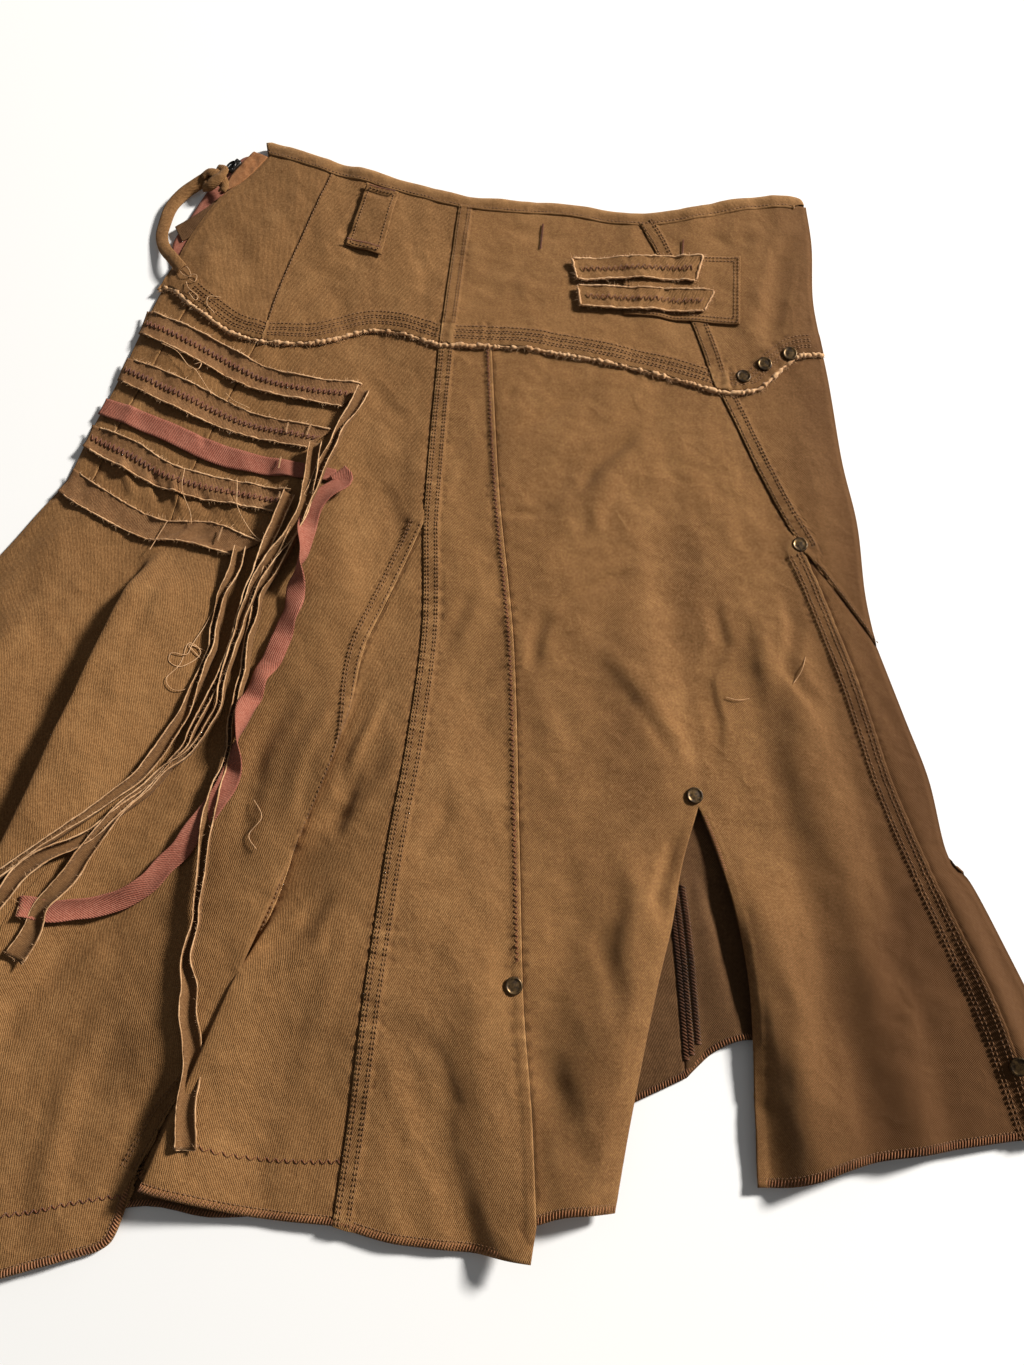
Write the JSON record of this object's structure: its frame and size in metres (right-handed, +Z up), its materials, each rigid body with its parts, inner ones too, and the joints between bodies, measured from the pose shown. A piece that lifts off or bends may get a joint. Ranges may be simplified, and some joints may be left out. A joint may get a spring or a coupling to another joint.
{
  "type": "skirt",
  "caption": "Flared knee-length brown twill skirt laid flat, with a yoke, hip strips with loose tails, a gathered side panel, a front slit and rivets.",
  "frame": {"origin": "on the surface, under the middle of the laid skirt's bounding box", "axes": "+Z up off the surface, through the layers of cloth; +Y from the hem to the waist; +X across the skirt to the viewer's right"},
  "size_m": [0.7246, 0.7036, 0.0237],
  "materials": {
    "twill": "garment-washed cotton twill, matt, frayed where its edge is raw",
    "twill_inside": "wrong side of the same cotton twill, slightly darker",
    "tape": "dusty pink herringbone cotton tape",
    "facing": "rust-coloured frayed facing",
    "brass": "antique brass, worn on the rim",
    "black_metal": "black enamelled metal"
  },
  "bodies": {
    "root": {"yoke_side": "twill", "yoke_left": "twill", "yoke_centre": "twill", "yoke_right": "twill", "front_binding": "twill", "belt_loop": "twill", "patch": "twill", "patch_strip_upper": "twill", "patch_strip_lower": "twill", "hip_side": "twill", "hip_left": "twill", "flounce": "twill", "front_left": "twill", "godet_left": "twill", "front_centre": "twill", "front_right": "twill", "side_right": "twill", "godet_right": "twill", "strip_1": "twill", "strip_2": "twill", "strip_3": "twill", "gather_band": "twill", "tail_1": "twill", "tail_2": "twill", "tail_3": "twill", "tail_4": "twill", "side_loop": "twill", "back_left": "twill_inside", "back_right": "twill_inside", "back_binding": "twill_inside", "underlap": "twill_inside", "tape": "tape", "tail_tape": "tape", "zip_tape": "tape", "facing": "facing", "rivet_yoke_1": "brass", "rivet_yoke_2": "brass", "rivet_yoke_3": "brass", "rivet_side": "brass", "rivet_slit": "brass", "rivet_centre": "brass", "rivet_left": "brass", "rivet_right": "brass", "zip_slider": "black_metal"}
  },
  "joints": []
}
